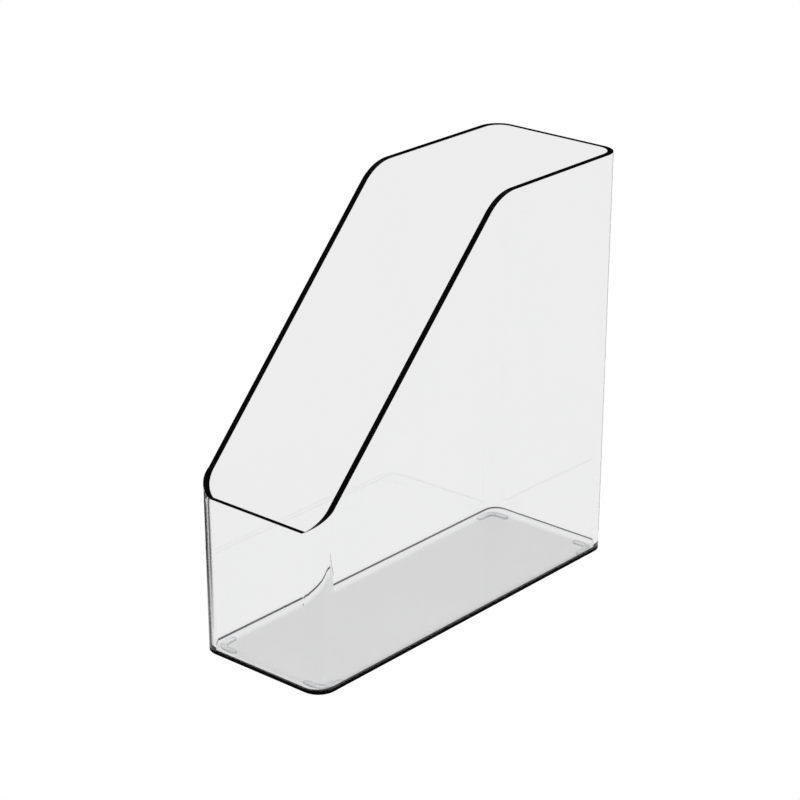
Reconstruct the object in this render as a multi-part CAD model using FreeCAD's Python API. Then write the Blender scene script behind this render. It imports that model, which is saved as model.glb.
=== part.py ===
import FreeCAD, Part
import math
import os

# Clear magazine file holder: a tall, narrow, open-topped document box with a
# cut-down front.  Millimetres.  +Z is up, the low front panel faces -Y, the
# full-height back faces +Y.  The origin is in the middle of the overall plan
# size (the tall back leans out a little further than the low front), at the
# height of the surface the feet rest on.

# ---------------------------------------------------------------- dimensions
BODY_H = 280.0          # underside of the base to the top of the back wall
TOP_W = 105.4           # outside width at the top of the back wall
TOP_D = 292.0           # outside depth at the top of the back wall
DRAFT_DEG = 0.42        # every wall leans out by this much
SIDE_T = 4.3            # thickness of the two side walls
END_T = 3.1             # thickness of the front panel and the back wall
BASE_T = 2.5            # base thickness
BASE_R = 12.5           # outside corner radius at the underside of the base
INNER_R = 9.4           # inside corner radius at the same height

FRONT_H = 106.8         # top of the front panel above the underside of the base
LEVEL_L = 124.6         # level top of the sides, back face to where the slope begins
SLOPE_FOOT = 1.5        # slope line meets the front height this far behind the front face
SHOULDER_R = 34.0       # radius that blends the slope into the level top
CORNER_EASE = 1.08      # how softly the rim starts to climb round the front corners
RIM_EASE = 0.25         # rounding on the polished rim edges
SEAM_EASE = 0.25        # small bevel on the outer edges of the base

FOOT_H = 1.6            # height of the feet under the base
FOOT_W = 4.7            # width of the L-shaped strip
FOOT_LEG = 17.0         # length of each leg, outside corner to rounded tip
FOOT_X = 45.9           # outer edge of the feet from the centre, across the width
FOOT_Y = 135.9          # outer edge of the feet from the centre, along the depth
FOOT_R = 7.2            # centreline radius of the bend in the L
FOOT_EASE = 0.4         # rounding on the lower edge of the feet

# ------------------------------------------------------------------- helpers
TAN_D = math.tan(math.radians(DRAFT_DEG))
BASE_W = TOP_W - 2.0 * BODY_H * TAN_D
BASE_D = TOP_D - 2.0 * BODY_H * TAN_D
Z0 = FOOT_H                                  # underside of the base
CX = BASE_W / 2.0 - BASE_R                   # centre of the corner rounding
CY = BASE_D / 2.0 - BASE_R
V = FreeCAD.Vector


def rounded_wire(z, grow, inset_x, inset_y, corner_r):
    """Rounded rectangle at absolute height z: the sides brought in by inset_x,
    the ends by inset_y, corner_r the corner radius before it grows."""
    r = corner_r + grow
    a = CX + BASE_R - inset_x - corner_r
    b = CY + BASE_R - inset_y - corner_r
    k = r / math.sqrt(2.0)
    e = []
    e.append(Part.makeLine(V(-a, -b - r, z), V(a, -b - r, z)))
    e.append(Part.Arc(V(a, -b - r, z), V(a + k, -b - k, z), V(a + r, -b, z)).toShape())
    e.append(Part.makeLine(V(a + r, -b, z), V(a + r, b, z)))
    e.append(Part.Arc(V(a + r, b, z), V(a + k, b + k, z), V(a, b + r, z)).toShape())
    e.append(Part.makeLine(V(a, b + r, z), V(-a, b + r, z)))
    e.append(Part.Arc(V(-a, b + r, z), V(-a - k, b + k, z), V(-a - r, b, z)).toShape())
    e.append(Part.makeLine(V(-a - r, b, z), V(-a - r, -b, z)))
    e.append(Part.Arc(V(-a - r, -b, z), V(-a - k, -b - k, z), V(-a, -b - r, z)).toShape())
    return Part.Wire(e)


def tapered(za, zb, inset_x=0.0, inset_y=0.0, corner_r=BASE_R):
    """Drafted rounded block between two heights, set inwards on sides and ends."""
    ga = (za - Z0) * TAN_D
    gb = (zb - Z0) * TAN_D
    return Part.makeLoft([rounded_wire(za, ga, inset_x, inset_y, corner_r),
                          rounded_wire(zb, gb, inset_x, inset_y, corner_r)], True, True)


def good(shape, name):
    if shape.ShapeType == "Compound" and len(shape.Solids) == 1:
        shape = shape.Solids[0]
    if shape.ShapeType != "Solid" or not shape.isValid():
        raise RuntimeError("bad solid: " + name)
    return shape


# ---------------------------------------------------------------- base plate
base = tapered(Z0, Z0 + BASE_T)
low = [e for e in base.Edges
       if abs(e.BoundBox.ZMin - Z0) < 1e-4 and abs(e.BoundBox.ZMax - Z0) < 1e-4]
base = good(base.makeFillet(SEAM_EASE, low), "base_plate")

# ---------------------------------------------------------------- wall shell
OVER = 8.0                                   # material the rim cut takes away
z_low = Z0 + BASE_T
z_rim = Z0 + BODY_H
z_front = Z0 + FRONT_H
outer = tapered(z_low, z_rim + OVER)
inner = tapered(z_low - 1.0, z_rim + OVER + 1.0, SIDE_T, END_T, INNER_R)

# side profile of the rim: straight slope, shoulder radius, level top
y_foot = -TOP_D / 2.0 + SLOPE_FOOT
y_shoulder = TOP_D / 2.0 - LEVEL_L
slope = (BODY_H - FRONT_H) / (y_shoulder - y_foot)
theta = math.atan(slope)
tang = SHOULDER_R * math.tan(theta / 2.0)
pa = (y_shoulder - tang * math.cos(theta), z_rim - tang * math.sin(theta))
pb = (y_shoulder + tang, z_rim)
cen = (pb[0], z_rim - SHOULDER_R)
mid_a = math.pi / 2.0 + theta / 2.0
pm = (cen[0] + SHOULDER_R * math.cos(mid_a), cen[1] + SHOULDER_R * math.sin(mid_a))


def slope_z(y):
    return z_front + slope * (y - y_foot)


z_turn = slope_z(-CY)                        # rim height where the corner meets the side
z_lid = z_rim + OVER + 6.0
half = TOP_W / 2.0 + 12.0
y_back = TOP_D / 2.0 + 12.0

prof = Part.Wire([
    Part.makeLine(V(-half, -CY, z_turn), V(-half, pa[0], pa[1])),
    Part.Arc(V(-half, pa[0], pa[1]), V(-half, pm[0], pm[1]), V(-half, pb[0], pb[1])).toShape(),
    Part.makeLine(V(-half, pb[0], pb[1]), V(-half, y_back, z_rim)),
    Part.makeLine(V(-half, y_back, z_rim), V(-half, y_back, z_lid)),
    Part.makeLine(V(-half, y_back, z_lid), V(-half, -CY, z_lid)),
    Part.makeLine(V(-half, -CY, z_lid), V(-half, -CY, z_turn)),
])
side_cut = Part.Face(prof).extrude(V(2.0 * half, 0, 0))

front_cut = Part.makeBox(2.0 * CX, TOP_D / 2.0 + 12.0 - CY, z_lid - z_front,
                         V(-CX, -TOP_D / 2.0 - 12.0, z_front))


def corner_cut(side):
    """Ramp round one front corner: level across the wall, climbing with the angle."""
    n_phi, n_r = 19, 3
    r0, r1 = 5.0, 18.0
    rows = []
    for i in range(n_phi):
        t = i / float(n_phi - 1)
        phi = t * math.pi / 2.0
        z = z_front + (z_turn - z_front) * t ** CORNER_EASE
        row = []
        for j in range(n_r):
            r = r0 + (r1 - r0) * j / float(n_r - 1)
            row.append(V(side * (CX + r * math.sin(phi)), -CY - r * math.cos(phi), z))
        rows.append(row)
    surf = Part.BSplineSurface()
    surf.interpolate(rows)
    return surf.toShape().extrude(V(0, 0, z_lid - z_front))


rim_cuts = (side_cut, front_cut, corner_cut(1), corner_cut(-1))


def beyond_mid_wall(p):
    """True for a point nearer the outer face of the wall than the inner one."""
    grow = (p.z - Z0) * TAN_D
    dx = max(abs(p.x) - CX, 0.0)
    dy = max(abs(p.y) - CY, 0.0)
    return math.hypot(dx, dy) > BASE_R + grow - END_T / 2.0


def rim_edges(shape, outside):
    """The edges between the rim and one face of the wall."""
    found = []
    for e in shape.Edges:
        if e.BoundBox.ZMin < z_front - 0.01:
            continue
        m = e.valueAt((e.FirstParameter + e.LastParameter) / 2.0)
        faces = shape.ancestorsOfType(e, Part.Face)
        if len(faces) != 2 or beyond_mid_wall(m) != outside:
            continue
        tops = [f for f in faces if abs(f.normalAt(*f.Surface.parameter(m)).z) > 0.3]
        if len(tops) == 1:
            found.append(e)
    return found


# outer block, rim cut, outer rim edge eased: corners and sides first, then front
for cutter in rim_cuts:
    outer = outer.cut(cutter)
outer = good(outer, "outer block")
ease, front_edge = [], []
for e in rim_edges(outer, True):
    b = e.BoundBox
    if b.YMax > -CY + 0.01:
        if b.YMax < 100.0 and b.ZMin < z_front + 20.0:
            ease.append(e)          # slope; the rest of the rim follows on smoothly
    elif b.ZMax > z_front + 1.0:
        ease.append(e)              # climb round a front corner
    else:
        front_edge.append(e)
outer = good(outer.makeFillet(RIM_EASE, ease + front_edge), "outer block eased")

# hollow it, then ease the inner rim edge all the way round
walls = good(outer.cut(inner), "wall_shell")
walls = good(walls.makeFillet(RIM_EASE, rim_edges(walls, False)), "wall_shell inner rim")

# ---------------------------------------------------------------------- feet


def foot(sx, sy):
    """L-shaped strip with rounded tips, concentric with the corner it sits under."""
    hw = FOOT_W / 2.0
    xo, yo = FOOT_X, FOOT_Y
    xc, yc = xo - hw - FOOT_R, yo - hw - FOOT_R      # centre of the bend
    ro, ri = FOOT_R + hw, FOOT_R - hw
    xt, yt = xo - FOOT_LEG + hw, yo - FOOT_LEG + hw  # centres of the rounded tips
    k = math.sqrt(0.5)

    def p(x, y):
        return V(sx * x, sy * y, 0.0)

    edges = [
        Part.makeLine(p(xo, yt), p(xo, yc)),
        Part.Arc(p(xo, yc), p(xc + ro * k, yc + ro * k), p(xc, yo)).toShape(),
        Part.makeLine(p(xc, yo), p(xt, yo)),
        Part.Arc(p(xt, yo), p(xt - hw, yo - hw), p(xt, yo - 2 * hw)).toShape(),
        Part.makeLine(p(xt, yo - 2 * hw), p(xc, yo - 2 * hw)),
        Part.Arc(p(xc, yo - 2 * hw), p(xc + ri * k, yc + ri * k), p(xo - 2 * hw, yc)).toShape(),
        Part.makeLine(p(xo - 2 * hw, yc), p(xo - 2 * hw, yt)),
        Part.Arc(p(xo - 2 * hw, yt), p(xo - hw, yt - hw), p(xo, yt)).toShape(),
    ]
    s = Part.Face(Part.Wire(edges)).extrude(V(0, 0, FOOT_H))
    low_e = [e for e in s.Edges if e.BoundBox.ZMax < 1e-4]
    return good(s.makeFillet(FOOT_EASE, low_e), "foot")


parts = {
    "wall_shell": walls,
    "base_plate": base,
    "foot_front_left": foot(-1, -1),
    "foot_front_right": foot(1, -1),
    "foot_rear_left": foot(-1, 1),
    "foot_rear_right": foot(1, 1),
}

# the modelling above is centred on the base; move to the middle of the overall size
y_mid = (TOP_D / 2.0 - (BASE_D / 2.0 + FRONT_H * TAN_D)) / 2.0

os.makedirs("parts", exist_ok=True)
for name, shape in parts.items():
    shape.translate(V(0.0, -y_mid, 0.0))
    shape.exportStep("parts/" + name + ".step")
    b = shape.BoundBox
    print(name, "vol %.1f" % shape.Volume,
          "x %.2f..%.2f y %.2f..%.2f z %.2f..%.2f" % (b.XMin, b.XMax, b.YMin, b.YMax, b.ZMin, b.ZMax))
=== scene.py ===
import bpy
import math
from mathutils import Matrix, Vector


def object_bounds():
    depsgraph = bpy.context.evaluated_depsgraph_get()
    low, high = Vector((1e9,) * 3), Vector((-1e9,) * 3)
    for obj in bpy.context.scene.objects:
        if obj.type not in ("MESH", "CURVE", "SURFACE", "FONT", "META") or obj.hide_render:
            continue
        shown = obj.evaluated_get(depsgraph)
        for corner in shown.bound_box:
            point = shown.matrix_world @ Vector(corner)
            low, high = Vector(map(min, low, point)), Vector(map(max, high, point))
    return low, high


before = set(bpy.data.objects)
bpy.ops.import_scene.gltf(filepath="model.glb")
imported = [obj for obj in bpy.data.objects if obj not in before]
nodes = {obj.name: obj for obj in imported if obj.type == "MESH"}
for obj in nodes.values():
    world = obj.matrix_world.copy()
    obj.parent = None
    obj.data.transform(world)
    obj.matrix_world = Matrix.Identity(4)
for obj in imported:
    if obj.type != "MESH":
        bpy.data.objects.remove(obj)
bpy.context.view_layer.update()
scene = bpy.context.scene

# --------------------------------------------------------------- node helpers


def new_material(name):
    m = bpy.data.materials.new(name)
    m.use_nodes = True
    nt = m.node_tree
    nt.nodes.clear()
    out = nt.nodes.new("ShaderNodeOutputMaterial")
    out.location = (600, 0)
    return m, nt, out


def add(nt, kind, **props):
    n = nt.nodes.new(kind)
    for k, v in props.items():
        setattr(n, k, v)
    return n


def ramp(nt, src, stops):
    r = add(nt, "ShaderNodeValToRGB")
    cr = r.color_ramp
    while len(cr.elements) > 1:
        cr.elements.remove(cr.elements[-1])
    cr.elements[0].position = stops[0][0]
    cr.elements[0].color = stops[0][1]
    for p, c in stops[1:]:
        e = cr.elements.new(p)
        e.color = c
    nt.links.new(src, r.inputs[0])
    return r.outputs[0]


def grey(v, a=1.0):
    return (v, v, v, a)


# ------------------------------------------------------------ clear plastic


def scaled(nt, tc, scale):
    mp = add(nt, "ShaderNodeMapping")
    mp.inputs["Scale"].default_value = scale
    nt.links.new(tc.outputs["Object"], mp.inputs[0])
    return mp.outputs[0]


def math_node(nt, op, a, b=None):
    n = add(nt, "ShaderNodeMath", operation=op)
    for i, v in enumerate((a, b)):
        if v is None:
            continue
        if isinstance(v, (int, float)):
            n.inputs[i].default_value = v
        else:
            nt.links.new(v, n.inputs[i])
    return n.outputs[0]


def spread(nt, src, lo_in, hi_in, lo_out=0.0, hi_out=1.0):
    n = add(nt, "ShaderNodeMapRange", interpolation_type="SMOOTHSTEP")
    nt.links.new(src, n.inputs["Value"])
    for key, v in (("From Min", lo_in), ("From Max", hi_in), ("To Min", lo_out), ("To Max", hi_out)):
        n.inputs[key].default_value = v
    return n.outputs[0]


def blend_colour(nt, fac, a, b):
    n = add(nt, "ShaderNodeMixRGB")
    nt.links.new(fac, n.inputs[0])
    for i, v in ((1, a), (2, b)):
        if isinstance(v, tuple):
            n.inputs[i].default_value = v
        else:
            nt.links.new(v, n.inputs[i])
    return n.outputs[0]


def up_normal(nt):
    geo = add(nt, "ShaderNodeNewGeometry")
    sep = add(nt, "ShaderNodeSeparateXYZ")
    nt.links.new(geo.outputs["True Normal"], sep.inputs[0])
    return geo, sep.outputs["Z"]


def floor_margin(nt, tc):
    """How high the soft rounding stands round the edge of the floor, in metres."""
    sep = add(nt, "ShaderNodeSeparateXYZ")
    nt.links.new(tc.outputs["Object"], sep.inputs[0])
    rise = None
    for axis, centre, half in (("X", 0.0, MARGIN_X), ("Y", MARGIN_MID, MARGIN_Y)):
        off = math_node(nt, "SUBTRACT", math_node(nt, "ABSOLUTE", math_node(nt, "SUBTRACT", sep.outputs[axis], centre)), half)
        off = math_node(nt, "MAXIMUM", off, 0.0)
        sq = math_node(nt, "MULTIPLY", off, off)
        rise = sq if rise is None else math_node(nt, "ADD", rise, sq)
    out = math_node(nt, "SQRT", rise)
    return math_node(nt, "MULTIPLY", math_node(nt, "MULTIPLY", out, out), MARGIN_CURVE)


def clear_plastic(name, tint_and_painted_shadow_lo, tint_and_painted_shadow_hi, rough_hi, wave, ior, edges, margin=False):
    """Clear moulded plastic.  Flow marks, rubbed haze and shallow waviness come
    from noise.  The edge function passed in gives (mask, colour) for the edge
    faces, which are painted near black and opaque: painted shade standing in for
    the dark that light trapped inside clear plastic gives its edges."""
    m, nt, out = new_material(name)
    L = nt.links.new
    tc = add(nt, "ShaderNodeTexCoord")
    # faint flow marks: long soft bands that run up the walls
    flow = add(nt, "ShaderNodeTexNoise")
    flow.inputs["Scale"].default_value = 14.0
    flow.inputs["Detail"].default_value = 2.0
    flow.inputs["Roughness"].default_value = 0.45
    L(scaled(nt, tc, (1.0, 1.0, 0.35)), flow.inputs["Vector"])
    # on the base plate the tint levels passed in are darker than the walls': a painted shadow of the holder on
    # the floor under it; the flow noise varies them
    tint_and_painted_shadow = ramp(nt, flow.outputs[0], [(0.3, tint_and_painted_shadow_lo), (0.7, tint_and_painted_shadow_hi)])
    # handling haze: fine rubbing in short random strokes
    fine = add(nt, "ShaderNodeTexNoise")
    fine.inputs["Scale"].default_value = 900.0
    fine.inputs["Detail"].default_value = 3.0
    L(scaled(nt, tc, (1.0, 1.0, 0.08)), fine.inputs["Vector"])
    haze = ramp(nt, fine.outputs[0], [(0.45, grey(0.0)), (0.75, grey(rough_hi))])
    # shallow waviness of a moulded sheet, far below what the outline shows
    bump = add(nt, "ShaderNodeBump")
    bump.inputs["Strength"].default_value = wave
    bump.inputs["Distance"].default_value = 0.0004
    L(flow.outputs[0], bump.inputs["Height"])
    if margin:
        dish = add(nt, "ShaderNodeBump")
        dish.inputs["Strength"].default_value = 1.0
        dish.inputs["Distance"].default_value = 1.0
        geo, nz = up_normal(nt)
        L(math_node(nt, "MULTIPLY", floor_margin(nt, tc), spread(nt, nz, 0.6, 0.9)), dish.inputs["Height"])
        L(bump.outputs[0], dish.inputs["Normal"])
        bump = dish
    b = add(nt, "ShaderNodeBsdfPrincipled")
    b.inputs["IOR"].default_value = ior
    # painted shade: the edge faces get a near-black colour, no transmission and almost no specular
    mask, painted_edge_shade = edges(nt)
    L(blend_colour(nt, mask, tint_and_painted_shadow, painted_edge_shade), b.inputs["Base Color"])
    L(math_node(nt, "SUBTRACT", 1.0, mask), b.inputs["Transmission Weight"])
    L(spread(nt, mask, 0.0, 1.0, 0.5, 0.01), b.inputs["Specular IOR Level"])
    L(haze, b.inputs["Roughness"])
    L(bump.outputs[0], b.inputs["Normal"])
    L(b.outputs[0], out.inputs["Surface"])
    return m


def rim_edges(nt):
    """The rim: every face of the walls that looks upwards, painted near black as painted shade."""
    geo, nz = up_normal(nt)
    return spread(nt, nz, 0.10, 0.30), (0.0015, 0.0015, 0.002, 1)


def plate_edges(nt):
    """The upright edge of the base plate, as met from outside, painted near black as painted shade."""
    geo, nz = up_normal(nt)
    painted_dark_side = spread(nt, math_node(nt, "ABSOLUTE", nz), 0.45, 0.75, 1.0, 0.0)
    outside = math_node(nt, "SUBTRACT", 1.0, geo.outputs["Backfacing"])
    return math_node(nt, "MULTIPLY", painted_dark_side, outside), (0.002, 0.002, 0.0025, 1)


def foot_plastic(name):
    """The feet: thin clear strips.  Light goes straight on through them, and the
    upright sides are given a darker colour, painted shade standing in for the
    dark edges of clear plastic, so they read as outlines under the base."""
    m, nt, out = new_material(name)
    L = nt.links.new
    tc = add(nt, "ShaderNodeTexCoord")
    grain = add(nt, "ShaderNodeTexNoise")
    grain.inputs["Scale"].default_value = 350.0
    grain.inputs["Detail"].default_value = 3.0
    L(scaled(nt, tc, (1.0, 1.0, 1.0)), grain.inputs["Vector"])
    flat = ramp(nt, grain.outputs[0], [(0.35, (0.93, 0.935, 0.94, 1)), (0.65, (0.975, 0.977, 0.98, 1))])
    # painted shade: the upright sides let less light through
    painted_dark_side = ramp(nt, grain.outputs[0], [(0.35, (0.60, 0.60, 0.61, 1)), (0.65, (0.70, 0.70, 0.71, 1))])
    geo, nz = up_normal(nt)
    upright = spread(nt, math_node(nt, "ABSOLUTE", nz), 0.3, 0.8, 1.0, 0.0)
    clear = add(nt, "ShaderNodeBsdfTransparent")
    L(blend_colour(nt, upright, flat, painted_dark_side), clear.inputs["Color"])
    gloss = add(nt, "ShaderNodeBsdfAnisotropic")
    gloss.inputs["Color"].default_value = (1, 1, 1, 1)
    L(ramp(nt, grain.outputs[0], [(0.4, grey(0.06)), (0.7, grey(0.14))]), gloss.inputs["Roughness"])
    sheen = add(nt, "ShaderNodeFresnel")
    sheen.inputs["IOR"].default_value = 1.3
    mix = add(nt, "ShaderNodeMixShader")
    L(sheen.outputs[0], mix.inputs[0])
    L(clear.outputs[0], mix.inputs[1])
    L(gloss.outputs[0], mix.inputs[2])
    L(mix.outputs[0], out.inputs["Surface"])
    return m


# where the soft rounding of the floor begins, and how tightly it curves (1/m)
MARGIN_X, MARGIN_Y, MARGIN_MID = 0.0390, 0.1315, 0.0
MARGIN_CURVE = 15.0

wall_mat = clear_plastic("clear_wall_plastic", (0.994, 0.996, 0.996, 1), (0.999, 1.0, 1.0, 1), 0.02, 0.10, 1.49, rim_edges)
# the base plate's darker tint is a painted shadow of the holder on the floor beneath it
base_mat = clear_plastic("clear_base_plastic", (0.905, 0.905, 0.917, 1), (0.925, 0.925, 0.937, 1), 0.03, 0.10, 1.49, plate_edges, True)
foot_mat = foot_plastic("clear_foot_plastic")

for name, ob in nodes.items():
    mat = wall_mat if name == "wall_shell" else base_mat if name == "base_plate" else foot_mat
    for s in ob.material_slots:
        s.material = mat

# -------------------------------------------------------------------- stage
SURROUND = 0.85         # brightness of the paper all round, as the plastic passes it on
DARK_TOP = 0.015        # the dark end of the studio above it
DARK_END = (-0.654, 0.756)      # the way that dark end lies, seen from the object
DARK_SPAN = (math.cos(math.radians(24.0)), math.cos(math.radians(16.0)))
SIDE_LIGHT = 1.0        # the soft light from all the other sides
lo, hi = [Vector(v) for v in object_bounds()]


def plane(name, size, z):
    me = bpy.data.meshes.new(name)
    h = size / 2.0
    me.from_pydata([(-h, -h, z), (h, -h, z), (h, h, z), (-h, h, z)], [], [(0, 1, 2, 3)])
    ob = bpy.data.objects.new(name, me)
    scene.collection.objects.link(ob)
    return ob


floor = plane("floor", 60.0, lo.z)
fm, nt, out = new_material("floor_lightbox")
seen = add(nt, "ShaderNodeLightPath")
glow = add(nt, "ShaderNodeEmission")
glow.inputs["Color"].default_value = (1, 1, 1, 1)
power = add(nt, "ShaderNodeMapRange")
power.inputs["To Min"].default_value = SURROUND
power.inputs["To Max"].default_value = 1.0
nt.links.new(seen.outputs["Is Camera Ray"], power.inputs["Value"])
nt.links.new(power.outputs[0], glow.inputs["Strength"])
nt.links.new(glow.outputs[0], out.inputs["Surface"])
floor.data.materials.append(fm)

# dark above, bright round the horizon, plain white where the camera looks straight at it
world = bpy.data.worlds.new("studio")
scene.world = world
world.use_nodes = True
wt = world.node_tree
wt.nodes.clear()
wo = wt.nodes.new("ShaderNodeOutputWorld")
bg = wt.nodes.new("ShaderNodeBackground")
tc = wt.nodes.new("ShaderNodeTexCoord")
sep = wt.nodes.new("ShaderNodeSeparateXYZ")
wt.links.new(tc.outputs["Generated"], sep.inputs[0])
low_band = ramp(wt, sep.outputs["Z"], [(0.10, grey(SURROUND)), (0.26, grey(DARK_TOP)), (0.48, grey(DARK_TOP)), (0.58, grey(SIDE_LIGHT))])
# how far a direction lies from the dark end of the studio, as a cosine
length = math_node(wt, "SQRT", math_node(wt, "ADD", math_node(wt, "MULTIPLY", sep.outputs["X"], sep.outputs["X"]),
                                         math_node(wt, "MULTIPLY", sep.outputs["Y"], sep.outputs["Y"])))
along = math_node(wt, "ADD", math_node(wt, "MULTIPLY", sep.outputs["X"], DARK_END[0]),
                  math_node(wt, "MULTIPLY", sep.outputs["Y"], DARK_END[1]))
ahead = spread(wt, math_node(wt, "DIVIDE", along, length), *DARK_SPAN)
sky = blend_colour(wt, ahead, grey(SIDE_LIGHT), low_band)
mix = wt.nodes.new("ShaderNodeMixRGB")
lp = wt.nodes.new("ShaderNodeLightPath")
wt.links.new(lp.outputs["Is Camera Ray"], mix.inputs[0])
wt.links.new(sky, mix.inputs[1])
mix.inputs[2].default_value = (1, 1, 1, 1)
wt.links.new(mix.outputs[0], bg.inputs["Color"])
wt.links.new(bg.outputs[0], wo.inputs[0])


def area(name, loc, target, size, power):
    d = bpy.data.lights.new(name, "AREA")
    d.shape = "RECTANGLE"
    d.size, d.size_y = size
    d.energy = power
    o = bpy.data.objects.new(name, d)
    o.location = loc
    o.rotation_euler = (Vector(target) - Vector(loc)).to_track_quat("-Z", "Y").to_euler()
    scene.collection.objects.link(o)
    return o


# two small black flags: only reflections catch them.  They draw the dark line down
# the left front corner and the thin one down the right rear corner.  passes is how
# many faces a ray may have gone through: none is a reflection straight off an
# outside face, and two is one turned back inside the corner next to the flag, so
# the flags don't show through the other walls.  near and far are the distances that
# the reflection comes from, so the flags don't show in the flat sides.
def flag(name, foot, top, passes, near, far, fade):
    me = bpy.data.meshes.new(name)
    me.from_pydata([foot[0], foot[1], top[1], top[0]], [], [(0, 1, 2, 3)])
    ob = bpy.data.objects.new(name, me)
    scene.collection.objects.link(ob)
    bm, nt, out = new_material(name + "_black")
    path = add(nt, "ShaderNodeLightPath")
    tc = add(nt, "ShaderNodeTexCoord")
    sep = add(nt, "ShaderNodeSeparateXYZ")
    nt.links.new(tc.outputs["Object"], sep.inputs[0])
    hit = math_node(nt, "MULTIPLY", math_node(nt, "GREATER_THAN", path.outputs["Glossy Depth"], 0.5),
                    math_node(nt, "LESS_THAN", path.outputs["Transmission Depth"], passes + 0.5))
    span = math_node(nt, "MULTIPLY", math_node(nt, "GREATER_THAN", path.outputs["Ray Length"], near),
                     math_node(nt, "LESS_THAN", path.outputs["Ray Length"], far))
    caught = math_node(nt, "MULTIPLY", math_node(nt, "MULTIPLY", hit, span), spread(nt, sep.outputs["Z"], *fade))
    clear = add(nt, "ShaderNodeBsdfTransparent")
    black = add(nt, "ShaderNodeEmission")
    black.inputs["Color"].default_value = (0, 0, 0, 1)
    black.inputs["Strength"].default_value = 0.0
    pick = add(nt, "ShaderNodeMixShader")
    nt.links.new(caught, pick.inputs[0])
    nt.links.new(clear.outputs[0], pick.inputs[1])
    nt.links.new(black.outputs[0], pick.inputs[2])
    nt.links.new(pick.outputs[0], out.inputs["Surface"])
    ob.data.materials.append(bm)


flag("flag_left", [(-0.0725, -0.1430, 0.002), (-0.0725, -0.1265, 0.002)],
     [(-0.0725, -0.1430, 0.100), (-0.0725, -0.1265, 0.100)], 2, 0.0235, 0.0325, (-0.01, 0.060, 0.1, 0.88))
flag("flag_right", [(0.0240, 0.1620, 0.002), (0.0472, 0.1620, 0.002)],
     [(0.0256, 0.1635, 0.279), (0.0488, 0.1635, 0.279)], 0, 0.015, 0.045, (0.0, 0.05, 0.9, 0.9))

area("softbox_top", (0.0, 0.0, 2.2), (0, 0, 0.1), (1.2, 1.2), 6.0)

# ------------------------------------------------------------------- camera
AZ, EL = math.radians(40.8445), math.radians(22.03)
back = Vector((math.sin(AZ) * math.cos(EL), -math.cos(AZ) * math.cos(EL), math.sin(EL)))
right = Vector((math.cos(AZ), math.sin(AZ), 0.0))
up = back.cross(right)
cam_data = bpy.data.cameras.new("camera")
cam_data.sensor_width = 36.0
cam_data.lens = 116.64
cam_data.clip_start = 0.05
cam_data.clip_end = 100.0
cam_data.shift_x = -0.000625
cam_data.shift_y = 0.000625
cam = bpy.data.objects.new("camera", cam_data)
rot = Matrix((right, up, back)).transposed()
cam.matrix_world = Matrix.Translation((0.99274, -1.16005, 0.75648)) @ rot.to_4x4()
scene.collection.objects.link(cam)
scene.camera = cam
scene.view_settings.view_transform = "Standard"
